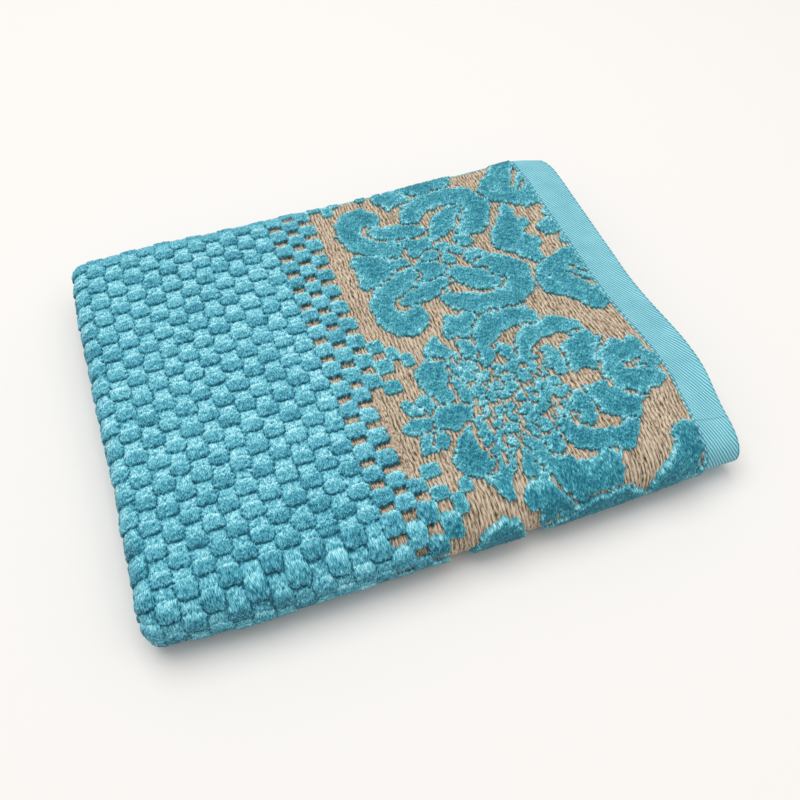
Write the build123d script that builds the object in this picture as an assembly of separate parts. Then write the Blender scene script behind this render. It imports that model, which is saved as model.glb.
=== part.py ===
from build123d import *
import os

# Folded terry towel with a woven jacquard border, in millimetres.
# +X runs along the folded length, from the left fold to the end hem.
# +Y runs from the front fold to the free long edges, and +Z is up.
# The origin is the middle of the footprint, on the table.
#
# The cloth is folded crosswise in three (outer, middle and inner ply) and then once
# lengthwise at the front, which gives an upper and a lower half of three plies each.
# Each half is one X-N profile, where N is the distance out from the plane between
# the halves. The profile is extruded along Y for both halves, and turned half a
# circle about the front fold's axis for the bend that joins them.

# Driving dimensions
folded_length = 320.0     # left fold to the edge of the end hem
folded_depth = 250.0      # front fold to the free long edges
cloth_thickness = 6.0     # tip of the pile on one face to tip of the loops on the other
ply_gap = 0.2             # between neighbouring plies of one half
half_gap = 0.3            # between the upper and the lower half
hem_width = 26.0          # end hem: doubled flat twill
hem_thickness = 2.2
border_width = 148.4      # woven border beside each end hem
ground_thickness = 3.6    # the border's flat ground, under the raised velour
side_hem_width = 8.0      # narrow hems along the free long edges
thread_radius = 0.4       # sewing thread
thread_inset = 1.5        # seam line to the inner edge of its hem
right_fold_setback = 1.6  # the hidden right fold stops short of the end hem
tuck_gap = 2.8            # the middle ply's end stops short of the left fold's axis
hinge_gap = 0.3           # the upper half starts this far behind the fold's axis

# Levels of the plies, counted out from the plane between the halves
half_height = half_gap / 2 + 3 * cloth_thickness + 2 * ply_gap
stack_height = 2 * half_height
inner_level = half_gap / 2
middle_level = inner_level + cloth_thickness + ply_gap
outer_level = middle_level + cloth_thickness + ply_gap

# Stations along X
hem_edge_x = folded_length / 2
border_end_x = hem_edge_x - hem_width
border_start_x = border_end_x - border_width
left_fold_radius = (3 * cloth_thickness + 2 * ply_gap) / 2
left_fold_x = left_fold_radius - folded_length / 2
right_fold_radius = (2 * cloth_thickness + ply_gap) / 2
right_fold_x = border_end_x - right_fold_setback - right_fold_radius
middle_edge_x = left_fold_x + tuck_gap
middle_hem_x = middle_edge_x + hem_width
middle_border_x = middle_hem_x + border_width

# Stations along Y
fold_axis_y = half_height - folded_depth / 2
back_y = folded_depth / 2
pile_back_y = back_y - side_hem_width

# The fold's axis, the plane that profiles are drawn on (x right, N up), and its mirror
fold_axis = Axis((0, fold_axis_y, half_height), (1, 0, 0))
profile_plane = Plane((0, fold_axis_y, half_height), x_dir=(1, 0, 0), z_dir=(0, -1, 0))
mirror_plane = Plane.XY.offset(half_height)


def strip(x_start, x_end, level, thickness):
    """A flat stretch of cloth in the profile."""
    middle = ((x_start + x_end) / 2, level + thickness / 2)
    return Pos(*middle) * Rectangle(x_end - x_start, thickness)


def round_fold(x, level, outer_radius, inner_radius, side):
    """A half ring in the profile, bulging to side -1 (left) or +1 (right) of x."""
    ring = Circle(outer_radius) - Circle(inner_radius)
    cut = Pos(side * outer_radius, 0) * Rectangle(2 * outer_radius, 2 * outer_radius)
    return Pos(x, level) * (ring & cut)


def flat_level(ply_level):
    """Underside of a flat-woven hem, centred in its ply."""
    return ply_level + (cloth_thickness - hem_thickness) / 2


def seam(x, ply_level):
    """Section of a sewing thread that lies on the outer face of a hem."""
    return Pos(x, flat_level(ply_level) + hem_thickness + thread_radius) * Circle(thread_radius)


def border_end(prefix, hem_x, hem_inner_x, border_x, ply_level):
    """One decorated end of the cloth: ground, raised velour, hem and its seam."""
    border = sorted((hem_inner_x, border_x))
    hem = sorted((hem_x, hem_inner_x))
    seam_x = hem_inner_x + thread_inset * (1 if hem_x > hem_inner_x else -1)
    velour_level = ply_level + ground_thickness
    return {
        prefix + "_border": strip(*border, ply_level, ground_thickness),
        prefix + "_velour": strip(*border, velour_level, cloth_thickness - ground_thickness),
        prefix + "_hem": strip(*hem, flat_level(ply_level), hem_thickness),
        prefix + "_hem_seam": seam(seam_x, ply_level),
    }


def cloth_profiles():
    """Every zone of the cloth in one half, as faces in the profile plane."""
    left_level = inner_level + left_fold_radius
    right_level = inner_level + right_fold_radius
    left_inner = left_fold_radius - cloth_thickness
    right_inner = right_fold_radius - cloth_thickness
    zones = {
        "outer_field": strip(left_fold_x, border_start_x, outer_level, cloth_thickness),
        "left_fold": round_fold(left_fold_x, left_level, left_fold_radius, left_inner, -1),
        "inner_panel": strip(left_fold_x, right_fold_x, inner_level, cloth_thickness),
        "right_fold": round_fold(right_fold_x, right_level, right_fold_radius, right_inner, 1),
        "middle_field": strip(middle_border_x, right_fold_x, middle_level, cloth_thickness),
    }
    zones |= border_end("outer", hem_edge_x, border_end_x, border_start_x, outer_level)
    zones |= border_end("middle", middle_edge_x, middle_hem_x, middle_border_x, middle_level)
    return zones


def side_hem_profile():
    """The thin side hem follows all three plies and both cross folds."""
    inset = (cloth_thickness - hem_thickness) / 2
    left_radius = left_fold_radius - inset
    right_radius = right_fold_radius - inset
    left_level = inner_level + left_fold_radius
    right_level = inner_level + right_fold_radius
    return (
        strip(left_fold_x, hem_edge_x, flat_level(outer_level), hem_thickness)
        + round_fold(left_fold_x, left_level, left_radius, left_radius - hem_thickness, -1)
        + strip(left_fold_x, right_fold_x, flat_level(inner_level), hem_thickness)
        + round_fold(right_fold_x, right_level, right_radius, right_radius - hem_thickness, 1)
        + strip(middle_edge_x, right_fold_x, flat_level(middle_level), hem_thickness)
    )


def panel(profile, y_start, y_end):
    """Extrude a profile along Y, as part of the upper half."""
    placed = profile_plane * profile
    solid = extrude(placed, amount=y_end - y_start, dir=(0, 1, 0))
    return Pos(0, y_start - fold_axis_y, 0) * solid


def side_seams(y_start):
    """Three straight threads that hold the side hems of the three plies."""
    spans = (
        (left_fold_x, hem_edge_x, outer_level),
        (middle_edge_x, right_fold_x, middle_level),
        (left_fold_x, right_fold_x, inner_level),
    )
    threads = []
    for x_start, x_end, level in spans:
        height = half_height + flat_level(level) + hem_thickness + thread_radius
        centre = ((x_start + x_end) / 2, y_start + thread_inset, height)
        threads.append(Pos(*centre) * Rot(0, 90, 0) * Cylinder(thread_radius, x_end - x_start))
    return Compound(children=threads)


def half_stack(y_start):
    """All nodes of the upper half, from y_start back to the free long edges."""
    nodes = {name: panel(zone, y_start, pile_back_y) for name, zone in cloth_profiles().items()}
    nodes["side_hem"] = panel(side_hem_profile(), pile_back_y, back_y)
    nodes["side_seam"] = side_seams(pile_back_y)
    return nodes


def front_bend():
    """The same zones turned half a circle about the front fold's axis."""
    return {
        name: revolve(profile_plane * zone, axis=fold_axis, revolution_arc=180)
        for name, zone in cloth_profiles().items()
    }


def towel():
    """Every node of the folded towel, by name."""
    nodes = {"upper_" + name: solid for name, solid in half_stack(fold_axis_y + hinge_gap).items()}
    for name, solid in half_stack(fold_axis_y).items():
        nodes["lower_" + name] = mirror(solid, about=mirror_plane)
    nodes |= {"bend_" + name: solid for name, solid in front_bend().items()}
    return nodes


os.makedirs("parts", exist_ok=True)
for node_name, node in towel().items():
    export_step(node, f"parts/{node_name}.step")
    size = node.bounding_box().size
    print(f"{node_name}: {size.X:.1f} x {size.Y:.1f} x {size.Z:.1f} mm, {node.volume / 1000:.1f} cm3")
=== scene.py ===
"""Folded bath towel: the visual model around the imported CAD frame.

The towel is one cloth. A point of it has cloth coordinates (u, v) in millimetres: u runs
along the towel from the hem that shows (u = X there) round both cross folds to the hem
folded inside, and v runs across it from the back of the upper half (v = Y there) round
the front fold to the back of the lower half. place() puts such a point, standing h over
the middle of the cloth, where the folded towel has it.
"""
import math

import bpy
import numpy as np
from mathutils import Matrix, Vector


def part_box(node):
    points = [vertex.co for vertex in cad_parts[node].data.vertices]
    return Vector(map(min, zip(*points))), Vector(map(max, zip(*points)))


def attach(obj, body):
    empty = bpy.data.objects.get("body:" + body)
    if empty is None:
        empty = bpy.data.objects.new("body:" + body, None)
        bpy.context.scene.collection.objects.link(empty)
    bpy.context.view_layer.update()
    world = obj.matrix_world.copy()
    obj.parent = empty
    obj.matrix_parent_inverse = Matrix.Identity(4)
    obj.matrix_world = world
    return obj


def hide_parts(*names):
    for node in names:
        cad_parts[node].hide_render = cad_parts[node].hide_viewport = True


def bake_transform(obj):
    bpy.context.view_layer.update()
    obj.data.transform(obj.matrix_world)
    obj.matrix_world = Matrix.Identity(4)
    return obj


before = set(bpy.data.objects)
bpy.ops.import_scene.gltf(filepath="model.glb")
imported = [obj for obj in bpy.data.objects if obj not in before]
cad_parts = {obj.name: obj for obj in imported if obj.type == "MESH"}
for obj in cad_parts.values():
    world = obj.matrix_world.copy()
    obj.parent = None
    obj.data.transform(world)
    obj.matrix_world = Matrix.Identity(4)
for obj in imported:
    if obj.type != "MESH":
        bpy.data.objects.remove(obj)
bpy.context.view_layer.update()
MM = 0.001
TAU = 2 * math.pi


# ---------------------------------------------------------------- sizes, from the frame
def span(node, axis):
    """Lowest and highest coordinate of a CAD node along an axis, in millimetres."""
    low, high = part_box(node)
    return low[axis] / MM, high[axis] / MM


X, Y, Z = 0, 1, 2
AXIS_Y = span("bend_outer_field", Y)[1]
MID_Z = sum(span("bend_outer_field", Z)) / 2
BACK_Y = span("upper_side_hem", Y)[1]
PILE_BACK_Y = span("upper_outer_field", Y)[1]
OUTER = sum(span("upper_outer_field", Z)) / 2 - MID_Z
MIDDLE = sum(span("upper_middle_field", Z)) / 2 - MID_Z
INNER = sum(span("upper_inner_panel", Z)) / 2 - MID_Z
HEM_END = span("upper_outer_hem", X)[1]
HEM_START = span("upper_outer_border", X)[1]
BORDER_START = span("upper_outer_border", X)[0]
LEFT_TURN = span("upper_left_fold", X)[1]
RIGHT_TURN = span("upper_right_fold", X)[0]
FAR_END = span("upper_middle_hem", X)[0]
LEFT_RADIUS = (OUTER - INNER) / 2
RIGHT_RADIUS = (MIDDLE - INNER) / 2

# where each stretch of the cloth ends, as u
U_LEFT = LEFT_TURN
U_INNER = U_LEFT - math.pi * LEFT_RADIUS
U_RIGHT = U_INNER - (RIGHT_TURN - LEFT_TURN)
U_MIDDLE = U_RIGHT - math.pi * RIGHT_RADIUS
U_END = U_MIDDLE - (RIGHT_TURN - FAR_END)
HEM_WIDTH = HEM_END - HEM_START
BORDER_WIDTH = HEM_START - BORDER_START
U_FAR_HEM = U_END + HEM_WIDTH
U_FAR_BORDER = U_FAR_HEM + BORDER_WIDTH

V_FOLD = AXIS_Y
V_LOWER = AXIS_Y - math.pi * OUTER
V_BACK = V_LOWER - (PILE_BACK_Y - AXIS_Y)
HALVES = {
    "upper": (V_FOLD, PILE_BACK_Y),
    "bend": (V_LOWER, V_FOLD),
    "lower": (V_BACK, V_LOWER),
}

# heights over the middle of the cloth
GROUND_H = 0.6
LOOP_H = 2.1
PILE_H = 2.9
HEM_H = 1.1
# how far inside the back edge the end hems stop
HEM_INSET = 0.6
# the pile of a stretch drawn with a grid finer than this gets its unevenness too
FINE_STEP = 1.0
# grid steps of the cloth's backs and of the plies that lie inside the towel
BACK_STEP = 1.7
HIDDEN_STEP = 1.6

# painted shade: how much darker the pile is drawn on the front roll, and from the front of the top on
ROLL_PAINTED_SHADE = 0.11
FRONT_PAINTED_SHADE = 0.08
# from one raised yarn of the ground to the next, and the hem's ribs per millimetre of u and v
YARN = 2.1
RIBS = (0.45, 0.28)


# ---------------------------------------------------------------- noise
def smooth(x):
    """A smooth step: 0 below 0 and 1 above 1."""
    x = np.clip(x, 0.0, 1.0)
    return x * x * (3 - 2 * x)


def noise(u, v, size, seed):
    """Smooth noise from -1 to 1 whose lumps are about size millimetres across."""
    n = 256
    lattice = np.random.RandomState(seed).uniform(-1, 1, (n, n))
    a, b = u / size + 1000.37, v / size + 1000.71
    i, j = np.floor(a).astype(int), np.floor(b).astype(int)
    s, t = smooth(a - i), smooth(b - j)
    i0, i1, j0, j1 = i % n, (i + 1) % n, j % n, (j + 1) % n
    near = lattice[i0, j0] * (1 - s) + lattice[i1, j0] * s
    far = lattice[i0, j1] * (1 - s) + lattice[i1, j1] * s
    return near * (1 - t) + far * t


# ---------------------------------------------------------------- the fold
def profile(u):
    """Across the folds: x, distance from the mid plane, and the pile side's direction."""
    left = (U_LEFT - u) / LEFT_RADIUS
    right = (U_RIGHT - u) / RIGHT_RADIUS
    in_left = (u < U_LEFT) & (u >= U_INNER)
    in_inner = (u < U_INNER) & (u >= U_RIGHT)
    in_right = (u < U_RIGHT) & (u >= U_MIDDLE)
    in_middle = u < U_MIDDLE
    cases = [in_left, in_inner, in_right, in_middle]
    x = np.select(
        cases,
        [
            LEFT_TURN - LEFT_RADIUS * np.sin(left),
            LEFT_TURN + (U_INNER - u),
            RIGHT_TURN + RIGHT_RADIUS * np.sin(right),
            RIGHT_TURN - (U_MIDDLE - u),
        ],
        u,
    )
    level = np.select(
        cases,
        [
            (OUTER + INNER) / 2 + LEFT_RADIUS * np.cos(left),
            INNER,
            (INNER + MIDDLE) / 2 - RIGHT_RADIUS * np.cos(right),
            MIDDLE,
        ],
        OUTER,
    )
    side_x = np.select(cases, [-np.sin(left), 0, np.sin(right), 0], 0.0)
    side_n = np.select(cases, [np.cos(left), -1, -np.cos(right), 1], 1.0)
    return x, level, side_x, side_n


# How far the towel has settled, in millimetres. The front roll bulges outside the inner
# plies, the back edge bulges, the hem end bows about BOW_Y, the left end sways, and the
# corner where the hem meets the back edge is rounded.
FRONT_BOW = 4.5
INNER_PLIES = 12.0
BACK_BOW = 2.0
HEM_BOW = 7.4
BOW_Y = -66
LEFT_SWAY = 1.3
HEM_CORNER = 9.0
CORNER_RADIUS = 16
# The lean along the towel: at the front edge, and how much less at the back edge.
FRONT_LEAN = 3.0
LEAN_CHANGE = 5.5
# The top layer's free edge curls down, and the layers under it draw in by TUCK.
CURL_START = 112.5
CURL_RADIUS = 6.0
TUCK = 6.5
# shares of the height lost at the hem end and at the back edge, and won at the left end
HEM_DROOP = 0.2
BACK_DROOP = 0.06
LEFT_SWELL = 0.035
FLOOR_GAP = 0.02


def curl(y, z):
    """The top layer's free edge turns down over the layers under it. share is 1 in the top
    layer, inner is 1 in the layers between it and the mid plane."""
    height = z - MID_Z
    share = smooth((height - MIDDLE - 2.6) / 1.2)
    turn = np.maximum(y - CURL_START, 0) / CURL_RADIUS
    reach = CURL_RADIUS + height - OUTER
    turned_y = CURL_START + reach * np.sin(turn) + np.minimum(y - CURL_START, 0)
    turned_z = MID_Z + OUTER - CURL_RADIUS + reach * np.cos(turn)
    inner = smooth(height / 3) * (1 - share)
    tucked = y - TUCK * smooth((y - 104) / 22) * inner
    return tucked + (turned_y - tucked) * share, z + (turned_z - z) * share


def rounded(over, radius):
    """How far a rounded corner has drawn in: 0 where it starts, 1 at radius past that."""
    return 1 - np.sqrt(1 - np.clip(over / radius, 0, 1) ** 2)


def drape(x, y, z):
    """The towel's own settling, the same for every layer, so nothing in it tears."""
    x = x - HEM_CORNER * rounded(y - 103, CORNER_RADIUS) * smooth((x - 132) / 26)
    y, z = curl(y, z)
    x = swayed(x, y)
    y = bulged(x, y, z)
    return sunk(x, y, z)


def swayed(x, y):
    """Moves along the towel: the lean, the bow of the hem end and the left end's sway."""
    lean = FRONT_LEAN - LEAN_CHANGE * np.clip((y + 110) / 220, 0, 1)
    x = x + lean * np.interp(x, (-100, 134, 160), (0, 1, 0))
    reach = np.where(y > BOW_Y, 42, 30)
    x = x + HEM_BOW * smooth((x - 60) / 80) * np.exp(-(((y - BOW_Y) / reach) ** 2))
    return x - LEFT_SWAY * smooth((-x - 60) / 80) * np.sin((y - 5) / 25) * smooth((y + 80) / 30)


def bulged(x, y, z):
    """Moves across the towel: the front roll and the back edge."""
    bow = np.interp(x, (-160, -108, 105, 160), (0.1, 1, 1, 0.7))
    bow = bow + 0.2 * noise(x, z, 70, 14)
    outer = smooth((np.hypot(y - AXIS_Y, z - MID_Z) - INNER_PLIES) / 3)
    y = y - FRONT_BOW * bow * outer * smooth((AXIS_Y - y) / 17)
    back = np.interp(x, (-160, -108, -60, 0, 100, 145), (0.1, 1.5, 1.1, 0.5, 1.0, 2.2))
    return y + BACK_BOW * back * smooth((y - 60) / 55)


def sunk(x, y, z):
    """Moves up and down: the droops, the swell and slight unevenness, more at the top."""
    z = z * (1 - HEM_DROOP * smooth((x - 128) / 34))
    z = z * (1 - BACK_DROOP * smooth((y - 90) / 40))
    z = z * (1 + LEFT_SWELL * smooth((-x - 40) / 120) * smooth((y + 118) / 40))
    top = z / (2 * MID_Z)
    z = z + top * (0.7 * noise(x, y, 46, 11) + 0.25 * noise(x, y, 17, 12))
    x = x + top * 1.1 * noise(y, x, 60, 13) * smooth((np.abs(x) - 60) / 60)
    return x, y, np.maximum(z, FLOOR_GAP)


def place(u, v, h):
    """Where the point of the cloth at (u, v), h over its middle, lies, in millimetres."""
    x, level, side_x, side_n = profile(u)
    n = level + h * side_n
    x = x + h * side_x
    turn = np.clip((V_FOLD - v) / OUTER, 0, math.pi)
    flat = np.maximum(v - V_FOLD, 0) + np.maximum(V_LOWER - v, 0)
    y = AXIS_Y + flat - n * np.sin(turn)
    z = MID_Z + n * np.cos(turn)
    return np.stack(drape(x, y, z), -1)


# ---------------------------------------------------------------- field blocks
BLOCK_U = 10.2
BLOCK_V = 7.1
FIELD_EDGE = -37.6
ENDLESS = 999
NOWHERE = 99.0
# columns of blocks past the full field: width, and the stretch of the repeat that has them
OPEN_COLUMNS = (
    (9.0, 0, ENDLESS), (9.0, 0, ENDLESS), (9.0, 0, 94), (9.0, 56, 92), (6.0, 61, 69), (6.0, 65, 76),
)
# the same stretches with the full field before them and nothing past them
COLUMN_LOW = np.array([0] + [low for _, low, _ in OPEN_COLUMNS] + [ENDLESS])
COLUMN_HIGH = np.array([ENDLESS] + [high for _, _, high in OPEN_COLUMNS] + [0])
SCROLL_V = 55.2
HALF_REPEAT = 116.6


def repeat(v):
    """Distance from the nearest scroll axis of the mirrored motif, up to HALF_REPEAT."""
    q = np.abs(v - SCROLL_V) % (2 * HALF_REPEAT)
    return np.where(q > HALF_REPEAT, 2 * HALF_REPEAT - q, q)


def cell_random(i, j, seed):
    """A number from -1 to 1 for each cell of the block pattern."""
    table = np.random.RandomState(seed).uniform(-1, 1, (128, 128))
    return table[i % 128, j % 128]


def column_edges():
    """Where the columns past the full field start and end, as u."""
    edges = [FIELD_EDGE]
    for width, _, _ in OPEN_COLUMNS:
        edges.append(edges[-1] + width)
    return np.array(edges)


EDGES = column_edges()


def column_of(i):
    """Start and width of column i. The full field's columns are those below 0."""
    inside = np.clip(i, 0, len(OPEN_COLUMNS) - 1)
    start = np.where(i < 0, FIELD_EDGE + i * BLOCK_U, EDGES[inside])
    return start, np.where(i < 0, BLOCK_U, EDGES[inside + 1] - EDGES[inside])


def has_block(i, j):
    """Whether column i has a raised block in row j: every second place has, where any has."""
    q = repeat((j + 0.5) * BLOCK_V)
    kind = np.clip(i, -1, len(OPEN_COLUMNS)) + 1
    return ((i + j) % 2 == 0) & (q >= COLUMN_LOW[kind]) & (q <= COLUMN_HIGH[kind])


def block(i, j, u, v):
    """Signed distance to the block in column i and row j, and the place along it."""
    start, width = column_of(i)
    grow = 0.3 + 0.2 * cell_random(i, j, 21) + 0.6 * (i >= 0)
    half_u = width / 2 + grow
    half_v = BLOCK_V / 2 + grow + 0.5
    du = np.abs(u - start - width / 2 - 0.25 * cell_random(i, j, 22))
    from_mid = v - (j + 0.5) * BLOCK_V - 0.4 - 0.2 * cell_random(i, j, 23)
    corner = np.where(from_mid > 0, 3.4, 2.4)
    a, b = du - half_u + corner, np.abs(from_mid) - half_v + corner
    d = np.hypot(np.maximum(a, 0), np.maximum(b, 0)) + np.minimum(np.maximum(a, b), 0)
    return np.where(has_block(i, j), d - corner, NOWHERE), from_mid / half_v


def blocks(u, v):
    """Signed distance to the nearest raised block (negative inside), the block's own tint,
    and the place along it, from -1 at its front edge to 1 at its back edge."""
    column = np.where(
        u < FIELD_EDGE,
        np.floor((u - FIELD_EDGE) / BLOCK_U),
        np.searchsorted(EDGES, u, side="right") - 1,
    ).astype(int)
    row = np.floor(v / BLOCK_V).astype(int)
    best = np.full(u.shape, NOWHERE)
    tint, along = np.zeros(u.shape), np.zeros(u.shape)
    for i in (column - 1, column, column + 1):
        for j in (row - 1, row, row + 1):
            d, place_along = block(i, j, u, v)
            near = d < best
            best = np.where(near, d, best)
            tint = np.where(near, cell_random(i, j, 24), tint)
            along = np.where(near, place_along, along)
    return best, tint, along


# ---------------------------------------------------------------- border motif
# A stroke is a chain of (p, q, radius): p from the field towards the hem, q from the
# scroll axis towards the flower axis. The strokes of a group melt into one shape, and
# a groove parts each group from the next.
SCROLL = [
    [[(17, 0, 7.5), (27, 0, 6), (40, 0, 4.6)], [(29, 3, 5), (20, 7.5, 5.5), (13, 13, 2)],
     [(18, 3, 6), (13, 8, 3.6)]],
    [[(44, 12, 5), (37, 12.5, 6.5), (27, 17.5, 7), (18.5, 25.5, 6.8), (15.6, 35, 6.6),
      (19, 44, 8.2), (27, 48, 9.6), (32.5, 44.5, 7)], [(40, 20, 4), (33, 19, 5)]],
    [[(49.5, 5.5, 2.5), (52, 12, 7.6), (58.5, 12.5, 6.4)], [(46, 17, 4), (50, 18, 4)]],
    [[(60.5, 25, 3.5), (54.5, 24.5, 6.6), (46, 27, 7.6), (38, 29.5, 6.4), (31, 33.5, 3.4)]],
    [[(57.5, 0, 4.2), (63, 0, 4)]],
    [[(69.5, 0, 3.6), (70, 5.8, 4)]],
    [[(76.5, 0, 4.2), (74, 0, 3)]],
    [[(85, 8.6, 6.2)]],
    [[(87, 14.5, 4.5), (95, 17.5, 6.6), (102.5, 24, 7), (105.5, 33, 8), (102.5, 42, 8),
      (94.5, 48, 7.4), (82, 49.5, 7), (71, 46.5, 6.8), (62, 42.5, 6.5), (57.5, 36, 4.6)],
     [(97, 22, 6), (94, 27.5, 4.6)]],
    [[(68.5, 19, 5.6), (75, 23.5, 7), (81.5, 30, 7), (89, 35, 4.6)]],
    [[(121.8, 24, 3.4), (119.5, 15, 6), (115, 6, 9), (113, 0, 10.5)],
     [(127, 8.5, 4), (120, 5, 6)], [(107, 6, 4.2)]],
    [[(146, 25, 3.5), (137, 28, 5), (127, 33, 5), (118, 40, 4.4), (120.5, 48, 5), (129, 55, 4.8),
      (137, 63, 5), (138, 68, 5), (145, 68, 4.6)],
     [(142, 36, 9), (132, 43, 9), (144, 52, 10), (142, 60, 6)]],
    [[(141.5, 0, 6.6), (147, 0, 6)]],
    [[(147.5, 13.2, 3.8)]],
]
FLOWER = [
    [[(2, 116.6, 4.8), (9, 116.6, 5)]],
    [[(5.5, 103.5, 4.4), (8, 107, 4)]],
    [[(14, 102.8, 4.6), (16, 108, 4.4)]],
    [[(22, 116.6, 9.5), (31, 116.6, 8)]],
    [[(31, 105, 5), (26.5, 97, 7.6), (24.5, 88, 9.4), (29.5, 83, 7)]],
    [[(34, 96, 4.2), (36, 104, 5.2), (40, 111, 3.6)]],
    [[(34.5, 66.5, 3), (34.5, 73, 5), (38.5, 80, 5.6), (42, 88, 5.4), (45, 95, 4)],
     [(29.5, 74, 3.4), (33, 77, 4)]],
    [[(45.5, 84, 2.6), (48, 92, 3), (50, 98, 2.6)]],
    [[(50.5, 52.5, 2.6), (53.5, 59, 6), (53, 66, 3.6)], [(62, 55.5, 4.6), (56, 60, 5)],
     [(46.5, 62, 4.2), (51, 63, 4)]],
    [[(50.5, 73, 4.2), (52.5, 81, 4)]],
    [[(98.5, 69.5, 3), (92.5, 64, 6.2), (81.5, 62, 7.2), (71, 65.5, 7.4), (64, 74, 6.8),
      (60.5, 83, 6), (59, 90, 4)]],
    [[(68, 81, 4.6), (72.5, 88, 4.2)]],
    [[(116, 81.5, 4), (108, 76, 6.2), (97.5, 77, 6.2), (87.5, 80.5, 6.4), (81, 89, 5.6),
      (80.5, 98, 5.2), (84.5, 104, 4)]],
    [[(112, 97, 9.4), (107.5, 106, 7.4)], [(117, 89, 6), (121, 95, 4.6)]],
    [[(94.5, 93, 4.6), (95.5, 99.5, 5.8), (95.5, 106, 4.2)]],
    [[(121, 107, 5.6), (129, 101, 5)], [(133, 116.6, 11), (124, 116.6, 9)],
     [(138, 104, 5.2), (133, 109, 6)], [(144.5, 116.6, 5.5)]],
    [[(66, 116.6, 2.8)]],
]
GAPS = [
    [(24.5, 33, 1.0), (27, 37.5, 1.7), (31, 36.5, 0.8)],
    [(136, 42, 1.0), (141, 49, 1.3), (146, 56, 1.9)],
    [(139, 37, 0.6), (143, 42, 0.8), (147, 45, 1.0)],
    [(90, 27.5, 0.8), (88, 22, 0.9)],
    [(104, 113.5, 2.4), (111, 116.6, 3.2)],
    [(91, 97, 1.0), (88, 91, 1.5), (92, 86.5, 1.0), (100, 84.5, 0.9)],
    [(40, 80, 0.7), (41.5, 86, 0.8)],
    [(81, 71, 0.8), (90, 71, 1.2)],
    [(128, 116.6, 1.4), (136, 114, 0.7)],
]
HEART = (66, 116.6)
HEART_RINGS = ((3, 8.5, 3.6, 0.5), (5, 15.5, 3.7, 1.5), (8, 22.5, 3.6, 3.0))
# p where the hem starts, and millimetres of p to one of cloth
MOTIF_HEM = 148.0
MOTIF_SCALE = 1.05
# half width of the slits between groups, and how much fuller than its discs each group is
GROOVE = 0.45
FULLNESS = 0.8
# distance between the discs of a stroke
STROKE_STEP = 1.2
# the table of distances: its reach in p and its step
MOTIF_START = -14
MOTIF_END = 156
MOTIF_STEP = 0.4
FAR = 1e9


def stroke(points):
    """A Catmull-Rom chain of discs through the points."""
    pts = np.array(points, float)
    if len(pts) == 1:
        return pts
    ends = np.vstack([2 * pts[0] - pts[1], pts, 2 * pts[-1] - pts[-2]])
    discs = [pts[-1:]]
    for a, b, c, d in zip(ends, ends[1:], ends[2:], ends[3:]):
        n = max(2, int(np.linalg.norm(c[:2] - b[:2]) / STROKE_STEP) + 1)
        t = np.linspace(0, 1, n, endpoint=False)[:, None]
        discs.append(
            0.5 * (2 * b + (c - a) * t + (2 * a - 5 * b + 4 * c - d) * t**2
                   + (3 * b - a - 3 * c + d) * t**3)
        )
    return np.vstack(discs)


def distance(strokes, p, q):
    """Signed distance to the union of strokes."""
    d = np.full(p.shape, FAR)
    for points in strokes:
        for x, y, r in stroke(points):
            np.minimum(d, np.hypot(p - x, q - y) - r, out=d)
    return d


def mirrored(strokes, axis):
    """The strokes' mirror image about q = axis."""
    return [[(x, 2 * axis - y, r) for x, y, r in points] for points in strokes]


def heart():
    """The speckled heart of the flower: petals in rings, longer towards the rim."""
    groups = []
    random = np.random.RandomState(5)
    for count, radius, size, length in HEART_RINGS:
        for k in range(count):
            angle = math.pi * (k + 0.5 + random.uniform(-0.12, 0.12)) / count
            near = radius + random.uniform(-0.9, 0.9) - length / 2
            width = size * random.uniform(0.85, 1.1)
            c, s = math.cos(angle), -math.sin(angle)
            chain = [(HEART[0] + r * c, HEART[1] + r * s, width) for r in (near, near + length)]
            groups.append([chain])
    return groups


def motif_shapes():
    """The motif's shapes round both axes of a half repeat. A group and its mirror image are
    one shape if the group lies on the axis, and two if it doesn't."""
    shapes = []
    for axis, groups in ((0.0, SCROLL), (HALF_REPEAT, FLOWER + heart())):
        for group in groups:
            on_axis = any(abs(y - axis) < 0.1 for points in group for _, y, _ in points)
            image = mirrored(group, axis)
            shapes += [group + image] if on_axis else [group, image]
    return shapes


def motif_table():
    """Over one half repeat: the signed distance to the motif's groups, and half of how
    much farther the second nearest group is than the nearest."""
    p, q = np.meshgrid(
        np.arange(MOTIF_START, MOTIF_END, MOTIF_STEP),
        np.arange(0, HALF_REPEAT + MOTIF_STEP, MOTIF_STEP),
        indexing="ij",
    )
    first = np.full(p.shape, FAR)
    second = first.copy()
    for shape in motif_shapes():
        d = distance(shape, p, q)
        second = np.where(d < first, first, np.minimum(second, d))
        first = np.minimum(first, d)
    solid = np.maximum(first - FULLNESS, -distance(GAPS, p, q))
    return np.stack([solid, (second - first) / 2])


MOTIF = motif_table()


def motif(u, v, groove):
    """Signed distance to the velour of the border that (u, v) lies in, with its groups
    parted by slits of half width groove."""
    p = MOTIF_HEM + MOTIF_SCALE * np.where(u > U_LEFT, u - HEM_START, U_FAR_HEM - u)
    q = repeat(v)
    a = np.clip((p - MOTIF_START) / MOTIF_STEP, 0, MOTIF.shape[1] - 1.001)
    b = np.clip(q / MOTIF_STEP, 0, MOTIF.shape[2] - 1.001)
    i, j = a.astype(int), b.astype(int)
    s, t = a - i, b - j
    near = MOTIF[:, i, j] * (1 - s) + MOTIF[:, i + 1, j] * s
    far = MOTIF[:, i, j + 1] * (1 - s) + MOTIF[:, i + 1, j + 1] * s
    solid, part = near * (1 - t) + far * t
    return np.maximum(solid, groove - part)


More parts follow.
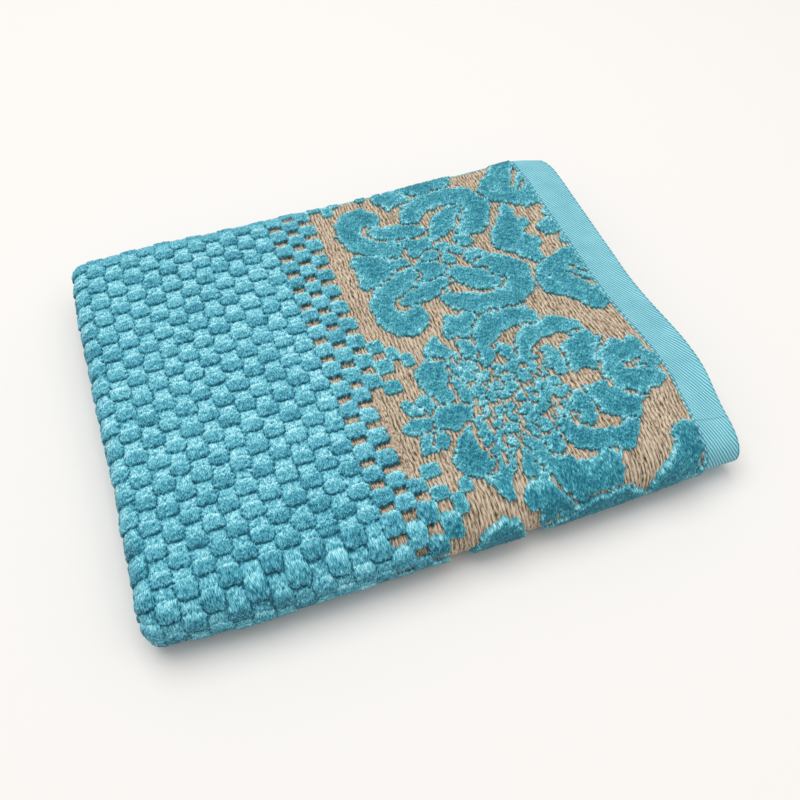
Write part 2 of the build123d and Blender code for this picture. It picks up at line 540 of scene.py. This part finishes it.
# ---------------------------------------------------------------- meshes
def new_piece(name, points, faces, cloth, material, caps=0, **values):
    """A mesh piece from arrays. cloth is each point's place on the cloth and values are
    its other numbers, which the materials read. The last caps faces are flat ends."""
    mesh = bpy.data.meshes.new(name)
    points, faces = np.asarray(points).reshape(-1, 3), np.asarray(faces).reshape(-1, 4)
    mesh.vertices.add(len(points))
    mesh.vertices.foreach_set("co", (points * MM).astype(np.float32).ravel())
    mesh.loops.add(faces.size)
    mesh.loops.foreach_set("vertex_index", faces.astype(np.int32).ravel())
    mesh.polygons.add(len(faces))
    mesh.polygons.foreach_set("loop_start", np.arange(0, faces.size, 4, dtype=np.int32))
    mesh.polygons.foreach_set("use_smooth", np.arange(len(faces)) < len(faces) - caps)
    mesh.update(calc_edges=True)
    for key, value in values.items():
        layer = mesh.attributes.new(key, "FLOAT", "POINT")
        layer.data.foreach_set("value", np.asarray(value, np.float32).ravel())
    layer = mesh.attributes.new("cloth", "FLOAT_VECTOR", "POINT")
    layer.data.foreach_set("vector", np.asarray(cloth, np.float32).ravel())
    mesh.materials.append(material)
    obj = bpy.data.objects.new(name, mesh)
    bpy.context.scene.collection.objects.link(obj)
    return obj


def grid(low_u, high_u, low_v, high_v, step_u, step_v):
    """Cloth coordinates of a grid and its quads, facing the pile side."""
    nu = max(2, int(round((high_u - low_u) / step_u)) + 1)
    nv = max(2, int(round((high_v - low_v) / step_v)) + 1)
    u, v = np.meshgrid(
        np.linspace(low_u, high_u, nu), np.linspace(low_v, high_v, nv), indexing="ij"
    )
    index = np.arange(nu * nv).reshape(nu, nv)
    quads = np.stack([index[:-1, :-1], index[1:, :-1], index[1:, 1:], index[:-1, 1:]], -1)
    return u, v, quads.reshape(-1, 4)


def cloth_of(u, v):
    """Cloth coordinates as the materials read them."""
    return np.stack([u, v, np.zeros_like(u)], -1)


def warp(u, v):
    """The weave's own unevenness: where the pattern drawn at (u, v) really lies."""
    v = v + 0.07 * np.maximum(v - 16, 0)
    return (
        u + 0.9 * noise(u, v, 38, 31) + 0.25 * noise(u, v, 9, 32),
        v + 0.9 * noise(u, v, 41, 33) + 0.25 * noise(u, v, 8, 34),
    )


def frayed(u, v, fine):
    """Where the block pattern lies, with the uneven edges of its pile when fine."""
    pu, pv = warp(u, v)
    if fine:
        pu = pu + 0.5 * noise(u, v, 1.2, 41) + 0.25 * noise(u, v, 2.6, 46)
        pv = pv + 0.5 * noise(u, v, 1.2, 42) + 0.25 * noise(u, v, 2.6, 47)
    return pu, pv


def crown(d, radius):
    """Rounded shoulder of a pile edge: 0 at the edge, 1 from radius inwards."""
    x = np.clip(-d / radius, 0, 1)
    return np.sqrt(1 - (1 - x) ** 2)


def slope_v(d, v):
    """How fast d grows with v over a grid."""
    return np.gradient(d, axis=1) / np.maximum(np.abs(np.gradient(v, axis=1)), 1e-6)


def off_joints(v):
    """0 where the halves meet the front bend, 1 a little way off."""
    return smooth(np.minimum(np.abs(v - V_FOLD), np.abs(v - V_LOWER)) / 2)


def roll(v):
    """How far the cloth is turned towards the front: 1 at the front of the fold."""
    return np.sin(np.clip((V_FOLD - v) / OUTER, 0, math.pi))


def painted_front_shade(v):
    """Painted shade: how much darker the pile is drawn towards the front, where it leans away from
    the light.
    """
    return ROLL_PAINTED_SHADE * roll(v) + FRONT_PAINTED_SHADE * smooth((-40 - v) / 60)


def block_height(d, tint, back, up, under):
    """Height of the pile, d from the edge of a block."""
    gap = np.exp(-np.maximum(d, 0) / 0.45)
    base = LOOP_H - 0.9 * gap * under * (d > 0)
    top = PILE_H + 0.2 * tint + 0.2 * smooth(-d / 4) - 0.6 * back
    return base + (top - base) * up


def block_tone_and_painted_light(d, tint, back, up, under, facing):
    """Tone of the pile there, d from the edge of a block: the block's own tint, a painted highlight
    over its back part and rim, and painted shadow on its front shoulder and on the loops beside it,
    most of all in front of it.
    """
    raised = 0.41 + 0.1 * tint + 0.23 * back + np.exp(np.minimum(d, 0) / 1.2) * (0.12 + 0.2 * facing)
    raised = raised - 0.3 * (1 - up) * under
    return np.where(d < 0, raised, 0.69 - 1.2 * np.exp(-np.maximum(d, 0) / 0.6) * under)


def field_relief(u, v, fine):
    """Height, shade with its painted highlights and shadows, and ground mask of the block field, and
    how far its pile leans.
    """
    pu, pv = frayed(u, v, fine)
    d, tint, along = blocks(pu, pv)
    facing = np.clip(slope_v(d, v), -1, 1)
    up = crown(d, 1.6)
    back = smooth((along - 0.15) / 0.85)
    under = 0.3 + 0.7 * smooth(0.5 - facing)
    window = smooth((d - 0.15) / 0.3) * (pu > FIELD_EDGE + 0.6)
    height = block_height(d, tint, back, up, under)
    height = height * (1 - window) + (GROUND_H - 0.1) * window
    # the shade is the blocks' tint with painted highlights on their backs and rims, painted shadows
    # under their front edges, and painted shade towards the front
    shade = block_tone_and_painted_light(d, tint, back, up, under, facing) - painted_front_shade(v)
    if fine:
        grain = 0.34 * noise(u, v, 0.8, 43) + 0.2 * noise(u, v, 1.9, 48)
        height = height + grain * (1 - window) * (1 - 0.4 * roll(v))
        shade = shade + (0.2 + 0.08 * (d > 0)) * noise(u, v, 0.8, 44) + 0.12 * noise(u, v, 1.5, 45)
    # over the back edge the shade, painted highlights and shadows with it, is drawn towards an even
    # tone
    shade = shade + 0.8 * (0.5 - shade) * smooth((v - 108) / 6)
    lean = 0.5 * up * smooth((height - LOOP_H) / 1.0) * off_joints(v)
    return height, shade, window, lean


def field(name, half, low_u, high_u, step, material, side=1):
    """A stretch of the terry field, on its pile side or, with side -1, on its back. The
    upper half's pile thins out towards the back edge."""
    u, v, quads = grid(low_u, high_u, *HALVES[half], step, step)
    height, shade, window, lean = field_relief(u, v, step < FINE_STEP)
    height = 0.9 + (height - 0.9) * smooth((PILE_BACK_Y + 0.5 - v) / 2.5)
    if side < 0:
        height, window, lean = np.minimum(height, 2.6), window * 0, 0
        quads = quads[:, ::-1]
    points = place(u, v - lean, side * height)
    return new_piece(name, points, quads, cloth_of(u, v), material, shade=shade, ground=window)


def ground(name, half, low_u, high_u, step_u, step_v, material):
    """The woven ground of a border, with its raised warp yarns."""
    u, v, quads = grid(low_u, high_u, *HALVES[half], step_u, step_v)
    yarn = np.sin(TAU * (u + 0.9 * noise(u, v, 5, 51) + 0.3 * noise(u, v, 2, 53)) / YARN)
    broken = noise(u * 4.0, v, 4.0, 52)
    points = place(u, v, GROUND_H + 0.16 * yarn + 0.12 * broken)
    shade = 0.6 + 0.24 * yarn + 0.2 * broken
    return new_piece(name, points, quads, cloth_of(u, v), material, shade=shade)


def velour_distance(u, v, fine, outer):
    """Signed distance to the velour of a border. The outer border's first columns of the
    field's blocks belong to it."""
    pu, pv = warp(u, v)
    if fine:
        pu = pu + 1.0 * noise(u, v, 6.5, 58) + 0.8 * noise(u, v, 2.6, 59)
        pv = pv + 1.0 * noise(u, v, 6.5, 56) + 0.8 * noise(u, v, 2.6, 57)
    d = motif(pu, pv, GROOVE + 0.9 * noise(u, v, 3.2, 55))
    if fine:
        d = d + 0.7 * noise(u, v, 3.4, 60) + 0.9 * noise(u, v, 1.5, 61) + 0.6 * noise(u, v, 0.8, 62)
    if outer:
        d = np.minimum(d, blocks(*frayed(u, v, fine))[0] + 0.1)
    return d


def velour_tone_and_painted_light(u, v, d, up, facing):
    """Tone of the velour with painted light: a painted highlight on its rim, most of all on the side
    that faces the back, painted shade down its sides and towards the front, and a slow random change
    of tone.
    """
    rim = np.exp(np.minimum(d + 0.3, 0) / 1.4)
    shade = 0.33 + rim * (0.54 + 0.17 * facing) - 0.5 * (1 - up)
    return shade + 0.08 * noise(u, v, 9, 64) - painted_front_shade(v)


def velour(name, half, low_u, high_u, step, material):
    """The raised cut pile of a border, as islands that stand on its ground."""
    low_v, high_v = HALVES[half]
    u, v, quads = grid(low_u, high_u, low_v, high_v, step, step)
    fine, outer = step < FINE_STEP, low_u > U_LEFT
    d = velour_distance(u, v, fine, outer)
    gu, gv = np.gradient(d, u[1, 0] - u[0, 0], v[0, 1] - v[0, 0])
    length = np.maximum(np.hypot(gu, gv), 0.5)
    # points outside an island are drawn in to its edge, so that the grid doesn't show there
    out = np.clip(d, 0, 1.5 * step)
    su = np.clip(u - out * gu / length**2, low_u, high_u)
    sv = np.clip(v - out * gv / length**2, low_v, high_v)
    up = crown(d, 0.9)
    to_hem = high_u - u if outer else u - low_u
    end = smooth((PILE_BACK_Y - v) / 2)
    end = (0.35 + 0.65 * end) * (0.3 + 0.7 * smooth(to_hem / 1.1))
    top = PILE_H - 0.1 + 0.2 * noise(u, v, 6, 63)
    height = -0.3 + (0.3 + top) * up * end
    # the shade holds painted highlights on the islands' rims and painted shade on their sides and
    # towards the front
    shade = velour_tone_and_painted_light(u, v, d, up, np.clip(gv / length, -1, 1))
    if fine:
        height = height + up * (0.36 * noise(u, v, 0.75, 65) + 0.2 * noise(u, v, 2.2, 67))
        shade = shade + 0.22 * noise(u, v, 0.75, 66) + 0.12 * noise(u, v, 1.8, 68)
    points = place(su, sv - 0.6 * up * off_joints(v), height).reshape(-1, 3)
    # the grid's quads that touch an island, and their points
    used, quads = np.unique(quads[(d.ravel()[quads] < 0).any(1)], return_inverse=True)
    cloth = cloth_of(u, v).reshape(-1, 3)[used]
    return new_piece(
        name, points[used], quads.reshape(-1, 4), cloth, material,
        shade=shade.ravel()[used], ground=np.zeros(len(used)),
    )


def end_caps(index, total, way):
    """Quads over both ends of a tube. Each column of index is a ring of it, whose point k
    lies opposite point total - k. With way -1 the quads face the other way."""
    count = len(index)
    caps = []
    for ring, turn in ((index[:, 0], -way), (index[:, -1], way)):
        for k in range(1, count // 2):
            far = total - k
            cap = [ring[k - 1], ring[k], ring[far % count], ring[(far + 1) % count]]
            if len(set(cap)) == 4:
                caps.append(cap[::turn])
    return np.array(caps)


def band_section(low_u, high_u, step):
    """The section of a doubled hem as a closed loop, u and h: along the top and back below.
    Its rims' points run outwards, so a rim stands as a bead with a groove behind it."""
    nu = int(round((high_u - low_u) / step)) + 1
    rim = HEM_H * (1 - np.cos(np.linspace(0, math.pi / 2, 4))[::-1]) * 0.9
    flat = np.linspace(low_u, high_u, nu)[3:-3]
    across = np.concatenate([low_u + rim, flat, high_u - rim[::-1]])
    thick = HEM_H * crown(-np.minimum(across - low_u, high_u - across), HEM_H)
    return np.concatenate([across, across[-2:0:-1]]), np.concatenate([thick, -thick[-2:0:-1]])


def slab(name, half, low_u, high_u, step_u, step_v, material):
    """A doubled hem: a flat band with twill ribs. It runs into the side hems."""
    low_v, high_v = HALVES[half]
    if half == "upper":
        high_v = BACK_Y - HEM_INSET
    if half == "lower":
        low_v = V_BACK - (BACK_Y - HEM_INSET - PILE_BACK_Y)
    loop_u, loop_h = band_section(low_u, high_u, step_u)
    nv = int(round((high_v - low_v) / step_v)) + 1
    u, v = np.meshgrid(loop_u, np.linspace(low_v, high_v, nv), indexing="ij")
    rib = np.sin(TAU * (RIBS[0] * u + RIBS[1] * v + 0.15 * noise(u, v, 8, 71)))
    h = loop_h[:, None] * (1 + 0.09 * rib * off_joints(v)) + 0.12 * noise(u, v, 14, 72)
    index = np.arange(u.size).reshape(u.shape)
    around = np.roll(index, -1, 0)
    quads = np.stack([index[:, :-1], around[:, :-1], around[:, 1:], index[:, 1:]], -1)
    caps = end_caps(index, len(index), 1)
    faces = np.vstack([quads.reshape(-1, 4), caps])
    return new_piece(name, place(u, v, h), faces, cloth_of(u, v), material, caps=len(caps))


def squared(x):
    """A cosine or sine drawn out towards 1 and -1, which makes a rounded box of a circle."""
    return np.sign(x) * np.abs(x) ** 0.5


def side_hem(name, half, material):
    """The narrow hem along the long edge, through all the layers of a half."""
    sign, edge = (1, PILE_BACK_Y) if half == "upper" else (-1, V_BACK)
    width, thick = (BACK_Y - PILE_BACK_Y) / 2 + 0.8, 1.3
    angle = np.linspace(0, TAU, 20, endpoint=False)
    ring_v = edge + sign * (width - 1.2 + squared(np.cos(angle)) * width)
    v, u = np.meshgrid(ring_v, np.arange(HEM_START, U_FAR_HEM, -1.6), indexing="ij")
    h = (squared(np.sin(angle)) * thick)[:, None] * (1 + 0.12 * noise(u, v, 5, 81))
    h = h + 0.25 * noise(u, v, 9, 82)
    index = np.arange(u.size).reshape(u.shape)
    around = np.roll(index, -1, 0)
    quads = np.stack([index[:, :-1], index[:, 1:], around[:, 1:], around[:, :-1]], -1)
    caps = end_caps(index, len(index) - 1, -sign)
    faces = np.vstack([quads[..., ::sign].reshape(-1, 4), caps])
    return new_piece(name, place(u, v, h), faces, cloth_of(u, v), material)


STITCH_RINGS = 7
STITCH_SIDES = 6


def stitch_faces(along_u):
    """Quads of one stitch with its ends closed, facing outwards."""
    index = np.arange(STITCH_RINGS * STITCH_SIDES).reshape(STITCH_RINGS, STITCH_SIDES)
    around = np.roll(index, -1, 1)
    tube = np.stack([index[:-1], around[:-1], around[1:], index[1:]], -1).reshape(-1, 4)
    start = index[0, [[0, 5, 4, 1], [1, 4, 3, 2]]]
    end = index[-1, [[1, 4, 5, 0], [2, 3, 4, 1]]]
    faces = np.vstack([tube, start, end])
    return faces if along_u else faces[:, ::-1]


def stitches(name, spots, along_u, length, radius, material):
    """Sewn stitches, short rounded threads that dip into the cloth at both ends."""
    t = np.linspace(-1, 1, STITCH_RINGS)[:, None]
    angle = np.linspace(0, TAU, STITCH_SIDES, endpoint=False)[None]
    girth = radius * np.sqrt(np.maximum(1 - t**4, 0.02))
    along = length / 2 * t + 0 * angle
    across = girth * np.cos(angle)
    rise = girth * np.sin(angle) - 0.5 * radius * t**2
    spots = np.array(spots)[:, :, None, None]
    u = spots[:, 0] + (along if along_u else across)
    v = spots[:, 1] + (across if along_u else along)
    first = np.arange(len(spots))[:, None, None] * along.size
    points = place(u, v, spots[:, 2] + rise)
    return new_piece(name, points, first + stitch_faces(along_u), cloth_of(u, v), material)


# ---------------------------------------------------------------- materials
def linear(*rgb):
    """Colour as a screen shows it, 0 to 255, to the renderer's own values."""
    parts = [c / 255 for c in rgb]
    return tuple(c / 12.92 if c < 0.04045 else ((c + 0.055) / 1.055) ** 2.4 for c in parts) + (1,)


class Nodes:
    """A few shorthands for building a node material."""

    def __init__(self, name):
        self.material = bpy.data.materials.new(name)
        self.material.use_nodes = True
        self.tree = self.material.node_tree
        self.shader = self.tree.nodes["Principled BSDF"]
        self.cloth = self.attribute("cloth", "Vector")

    def link(self, out, into):
        self.tree.links.new(out, into)

    def attribute(self, name, output):
        """A number or vector that new_piece stored at the points."""
        node = self.tree.nodes.new("ShaderNodeAttribute")
        node.attribute_name = name
        return node.outputs[output]

    def scaled(self, x, y):
        """Cloth coordinates times x and y."""
        node = self.tree.nodes.new("ShaderNodeVectorMath")
        node.operation = "MULTIPLY"
        self.link(self.cloth, node.inputs[0])
        node.inputs[1].default_value = (x, y, 1)
        return node.outputs[0]

    def noise(self, size_u, size_v, detail=2.0, rough=0.5):
        node = self.tree.nodes.new("ShaderNodeTexNoise")
        node.inputs["Scale"].default_value = 1.0
        node.inputs["Detail"].default_value = detail
        node.inputs["Roughness"].default_value = rough
        self.link(self.scaled(1 / size_u, 1 / size_v), node.inputs["Vector"])
        return node.outputs["Fac"]

    def math(self, operation, a, b=0.0, c=None):
        node = self.tree.nodes.new("ShaderNodeMath")
        node.operation = operation
        for socket, value in zip(node.inputs, (a, b, c)):
            if value is None:
                continue
            if isinstance(value, (int, float)):
                socket.default_value = value
            else:
                self.link(value, socket)
        return node.outputs[0]

    def added(self, value, texture, amount):
        """value plus a texture that swings amount either way."""
        swing = self.math("MULTIPLY_ADD", texture, 2 * amount, -amount)
        return self.math("ADD", value, swing)

    def ramp(self, value, stops):
        node = self.tree.nodes.new("ShaderNodeValToRGB")
        node.color_ramp.interpolation = "LINEAR"
        elements = node.color_ramp.elements
        for k, (at, colour) in enumerate(stops):
            element = elements[k] if k < 2 else elements.new(at)
            element.position = at
            element.color = colour
        self.link(value, node.inputs[0])
        return node.outputs[0]

    def mix(self, factor, a, b):
        """Colour a where factor is 0 and b where it is 1. Sockets 6, 7 and 2 are the colours'."""
        node = self.tree.nodes.new("ShaderNodeMix")
        node.data_type = "RGBA"
        self.link(factor, node.inputs[0])
        self.link(a, node.inputs[6])
        self.link(b, node.inputs[7])
        return node.outputs[2]

    def bump(self, height, distance_mm, strength):
        node = self.tree.nodes.new("ShaderNodeBump")
        node.inputs["Distance"].default_value = distance_mm * MM
        node.inputs["Strength"].default_value = strength
        self.link(height, node.inputs["Height"])
        self.link(node.outputs[0], self.shader.inputs["Normal"])

    def finish(self, colour, roughness, sheen, sheen_tint):
        self.link(colour, self.shader.inputs["Base Color"])
        self.shader.inputs["Roughness"].default_value = roughness
        self.shader.inputs["Sheen Weight"].default_value = sheen
        self.shader.inputs["Sheen Roughness"].default_value = 0.5
        self.shader.inputs["Sheen Tint"].default_value = sheen_tint
        self.shader.inputs["Specular IOR Level"].default_value = 0.15
        return self.material


TAUPE = ((0.0, linear(58, 50, 37)), (0.28, linear(110, 96, 76)), (0.5, linear(154, 138, 117)),
         (1.0, linear(208, 190, 170)))
PILE = ((0.0, linear(26, 80, 98)), (0.25, linear(56, 134, 156)), (0.5, linear(88, 169, 189)),
        (0.75, linear(130, 206, 219)), (1.0, linear(192, 236, 243)))
VELOUR = ((0.0, linear(22, 88, 107)), (0.3, linear(46, 130, 149)), (0.55, linear(77, 161, 177)),
          (0.8, linear(130, 204, 215)), (1.0, linear(188, 234, 242)))
TWILL = ((0.0, linear(75, 145, 165)), (0.5, linear(118, 188, 202)), (1.0, linear(160, 221, 230)))


def ground_colour(nodes):
    """Colour of the taupe ground, and the yarns' own texture."""
    yarn = nodes.noise(0.55, 3.0, 2.0, 0.6)
    patch = nodes.noise(9, 14, 2.0)
    shade = nodes.added(nodes.attribute("shade", "Fac"), yarn, 1.3)
    return nodes.ramp(nodes.added(shade, patch, 0.1), TAUPE), yarn


def pile_material(name, stops):
    """Cut or looped pile, with the ground's colour where the ground mask is 1."""
    nodes = Nodes(name)
    shade = nodes.attribute("shade", "Fac")
    tuft = nodes.noise(0.5, 1.6, 3.0, 0.75)
    shade = nodes.added(shade, tuft, 1.3)
    shade = nodes.added(shade, nodes.noise(16, 16, 2.0), 0.07)
    colour, _ = ground_colour(nodes)
    colour = nodes.mix(nodes.attribute("ground", "Fac"), nodes.ramp(shade, stops), colour)
    nodes.bump(nodes.noise(0.45, 0.6, 3.0, 0.7), 0.5, 0.8)
    return nodes.finish(colour, 0.95, 0.25, linear(190, 236, 244))


def ground_material(name):
    nodes = Nodes(name)
    colour, yarn = ground_colour(nodes)
    nodes.bump(yarn, 0.35, 0.8)
    return nodes.finish(colour, 0.75, 0.15, linear(230, 220, 210))


def twill_material(name, rib_u, rib_v, dark):
    """Flat weave with diagonal ribs, rib_u and rib_v of them to a millimetre of u and v."""
    nodes = Nodes(name)
    rib = nodes.math("SINE", nodes.math("MULTIPLY", rib_line(nodes, rib_u, rib_v), TAU))
    rib = nodes.math("MULTIPLY_ADD", rib, 0.5, 0.5)
    thread = nodes.noise(0.35, 0.35, 2.0)
    shade = nodes.added(nodes.math("ADD", rib, -dark), thread, 0.4)
    shade = nodes.added(shade, nodes.noise(18, 12, 2.0), 0.2)
    nodes.bump(nodes.math("ADD", rib, thread), 0.3, 0.9)
    return nodes.finish(nodes.ramp(shade, TWILL), 0.85, 0.15, linear(200, 238, 244))


def rib_line(nodes, rib_u, rib_v):
    """Distance across the diagonal ribs, in ribs."""
    node = nodes.tree.nodes.new("ShaderNodeVectorMath")
    node.operation = "DOT_PRODUCT"
    nodes.link(nodes.cloth, node.inputs[0])
    node.inputs[1].default_value = (rib_u, rib_v, 0)
    return nodes.added(node.outputs["Value"], nodes.noise(8, 8, 1.0), 0.3)


def thread_material(name):
    nodes = Nodes(name)
    ply = nodes.noise(0.3, 0.3, 2.0)
    nodes.bump(ply, 0.1, 0.5)
    stops = ((0.0, linear(72, 142, 160)), (1.0, linear(128, 196, 208)))
    return nodes.finish(nodes.ramp(ply, stops), 0.6, 0.1, linear(200, 238, 244))


FIELD_PILE = pile_material("terry_pile", PILE)
BORDER_VELOUR = pile_material("velour_pile", VELOUR)
BORDER_GROUND = ground_material("woven_ground")
HEM_TWILL = twill_material("hem_twill", *RIBS, 0.02)
SIDE_WEAVE = twill_material("side_hem_weave", 0.2, 0.9, 0.15)
THREAD = thread_material("sewing_thread")


# ---------------------------------------------------------------- the towel
# for each layer, a reach to either side of the fold's axis, in millimetres, that ride() is given for
# its bend
OUTER_BLEND = 12.4
MIDDLE_BLEND = 6.2
LEFT_BLEND = 2.0
INNER_BLEND = 1.0
OUTER_HEM_BLEND = 14.2
MIDDLE_HEM_BLEND = 8.0
# how far the seams of the end hems lie inside the hems' edges, and the side hems' seams
# outside the pile's edge
SEAM_IN = 1.5
SEAM_OUT = 2.2


def ride(piece, half, blend, *nodes):
    """Puts a piece on its body, or in the bend bakes its place and leaves it on neither, and lets it
    stand for its CAD nodes."""
    if half == "bend":
        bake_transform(piece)
    else:
        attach(piece, half + "_half")
    if nodes:
        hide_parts(*nodes)


def cut(half, low_u, high_u, level):
    """Flat size of a stretch of the cloth, in metres, measured at its middle. Its layer is
    level millimetres from the axis of the front fold."""
    length = math.pi * level if half == "bend" else PILE_BACK_Y - AXIS_Y
    return ((high_u - low_u) * MM, length * MM)


def fine_step(half, shown, hidden):
    """The grid step of a stretch, which is wider in the lower half, where little shows."""
    return hidden if half == "lower" else shown


def terry(half):
    """The field stretches of one half, each with its back. The stretches with a level of their own
    are gathered with their flat sizes, and the others apart."""
    inner_level = None if half == "bend" else INNER
    stretches = (
        ("outer_field", U_LEFT, BORDER_START, fine_step(half, 0.6, 0.9), OUTER_BLEND, OUTER),
        ("left_fold", U_INNER, U_LEFT, fine_step(half, 0.6, 0.8), LEFT_BLEND, None),
        ("inner_panel", U_RIGHT, U_INNER, 0.95, INNER_BLEND, inner_level),
        ("middle_field", U_FAR_BORDER, U_MIDDLE, HIDDEN_STEP, MIDDLE_BLEND, MIDDLE),
        ("right_fold", U_MIDDLE, U_RIGHT, 1.0, INNER_BLEND, None),
    )
    sheets, turns = [], []
    for part, low_u, high_u, step, blend, level in stretches:
        name = half + "_" + part
        front = field(name + "_pile", half, low_u, high_u, step, FIELD_PILE)
        back = field(name + "_back", half, low_u, high_u, BACK_STEP, FIELD_PILE, side=-1)
        ride(front, half, blend, name)
        ride(back, half, blend)
        if level is None:
            turns += [front, back]
        else:
            sheets.append((front, back, cut(half, low_u, high_u, level)))


def border(half, which, low_u, step_u, step_v, pile_step, blend):
    """One border: woven ground, its back and the velour on it."""
    name = half + "_" + which
    high_u = low_u + BORDER_WIDTH
    base = ground(name + "_border_weave", half, low_u, high_u, step_u, step_v, BORDER_GROUND)
    back = field(name + "_border_back", half, low_u, high_u, BACK_STEP, FIELD_PILE, side=-1)
    pile = velour(name + "_velour_pile", half, low_u, high_u, pile_step, BORDER_VELOUR)
    ride(base, half, blend, name + "_border")
    ride(back, half, blend)
    ride(pile, half, blend, name + "_velour")


def hem(half, which, low_u, high_u, seam_u, step, blend):
    """One end hem and the row of stitches that holds it."""
    name = half + "_" + which
    band = slab(name + "_hem_band", half, low_u, high_u, step, step * 1.4, HEM_TWILL)
    low_v, high_v = HALVES[half]
    spots = [(seam_u, v, HEM_H + 0.12) for v in np.arange(low_v + 1.5, high_v, 3.0)]
    thread = stitches(name + "_hem_stitches", spots, False, 2.3, 0.34, THREAD)
    ride(band, half, blend, name + "_hem")
    ride(thread, half, blend, name + "_hem_seam")


def side(half):
    """The side hem of one half and its stitches."""
    band = side_hem(half + "_side_hem_band", half, SIDE_WEAVE)
    edge = PILE_BACK_Y + SEAM_OUT if half == "upper" else V_BACK - SEAM_OUT
    us = np.arange(HEM_START - 2, U_FAR_HEM + 2, -3.2)
    spots = [(u, edge, s * 1.28) for u in us for s in (1, -1)]
    thread = stitches(half + "_side_hem_stitches", spots, True, 2.4, 0.3, THREAD)
    ride(band, half, 0, half + "_side_hem")
    ride(thread, half, 0, half + "_side_seam")


for half in HALVES:
    terry(half)
    border(half, "outer", BORDER_START, 0.34, 1.5, fine_step(half, 0.5, 0.8), OUTER_BLEND)
    border(half, "middle", U_FAR_HEM, 1.2, 3.0, HIDDEN_STEP, MIDDLE_BLEND)
    hem(half, "outer", HEM_START, HEM_END, HEM_START + SEAM_IN, 0.7, OUTER_HEM_BLEND)
    hem(half, "middle", U_END, U_FAR_HEM, U_FAR_HEM - SEAM_IN, HIDDEN_STEP, MIDDLE_HEM_BLEND)
for half in ("upper", "lower"):
    side(half)


# ---------------------------------------------------------------- stage, light, camera
FLOOR_REACH = 6.0
FRAME = 800
FOCAL_PIXELS = 862.4
SENSOR = 36.0
CAMERA_PLACE = (-0.0959, -0.2933, 0.4127)
CAMERA_ANGLES = (-20.02, 54.7, 0.36)


def floor():
    """A plain pale floor."""
    mesh = bpy.data.meshes.new("floor")
    corners = [(x * FLOOR_REACH, y * FLOOR_REACH, 0) for x, y in ((-1, -1), (1, -1), (1, 1), (-1, 1))]
    mesh.from_pydata(corners, [], [(0, 1, 2, 3)])
    material = bpy.data.materials.new("floor")
    material.use_nodes = True
    shader = material.node_tree.nodes["Principled BSDF"]
    shader.inputs["Base Color"].default_value = (0.752, 0.739, 0.727, 1)
    shader.inputs["Roughness"].default_value = 0.7
    shader.inputs["Specular IOR Level"].default_value = 0.1
    mesh.materials.append(material)
    obj = bpy.data.objects.new("floor", mesh)
    bpy.context.scene.collection.objects.link(obj)


def area_light(name, place_at, aim, size, power, colour):
    """A round soft light at a place in metres that faces aim."""
    light = bpy.data.lights.new(name, "AREA")
    light.shape = "DISK"
    light.size = size
    light.energy = power
    light.color = colour
    obj = bpy.data.objects.new(name, light)
    obj.location = place_at
    obj.rotation_mode = "QUATERNION"
    obj.rotation_quaternion = (Vector(aim) - Vector(place_at)).to_track_quat("-Z", "Y")
    bpy.context.scene.collection.objects.link(obj)


def surroundings():
    """Even, slightly warm light from all round."""
    world = bpy.data.worlds.new("studio")
    world.use_nodes = True
    back = world.node_tree.nodes["Background"]
    back.inputs["Color"].default_value = (1.0, 0.99, 0.975, 1)
    back.inputs["Strength"].default_value = 0.48
    bpy.context.scene.world = world


def camera():
    """The photograph's view: azimuth, elevation and roll in degrees, place in metres."""
    azimuth, elevation, tilt = (math.radians(a) for a in CAMERA_ANGLES)
    forward = Vector((
        -math.sin(azimuth) * math.cos(elevation),
        math.cos(azimuth) * math.cos(elevation),
        -math.sin(elevation),
    ))
    right = forward.cross(Vector((0, 0, 1))).normalized()
    up = right.cross(forward)
    turned = math.cos(tilt) * right + math.sin(tilt) * up
    upright = -math.sin(tilt) * right + math.cos(tilt) * up
    data = bpy.data.cameras.new("camera")
    data.sensor_width = SENSOR
    data.lens = SENSOR * FOCAL_PIXELS / FRAME
    data.clip_start = 0.01
    obj = bpy.data.objects.new("camera", data)
    rotation = Matrix((turned, upright, -forward)).transposed().to_4x4()
    obj.matrix_world = Matrix.Translation(CAMERA_PLACE) @ rotation
    bpy.context.scene.collection.objects.link(obj)
    bpy.context.scene.camera = obj


floor()
surroundings()
area_light("key", (-0.3, 0.55, 2.2), (0, 0, 0), 2.0, 38, (1.0, 0.985, 0.965))
area_light("fill", (0.7, -0.6, 2.1), (0, 0, 0), 2.0, 16, (1.0, 0.99, 0.98))
camera()
bpy.context.scene.view_settings.view_transform = "Standard"
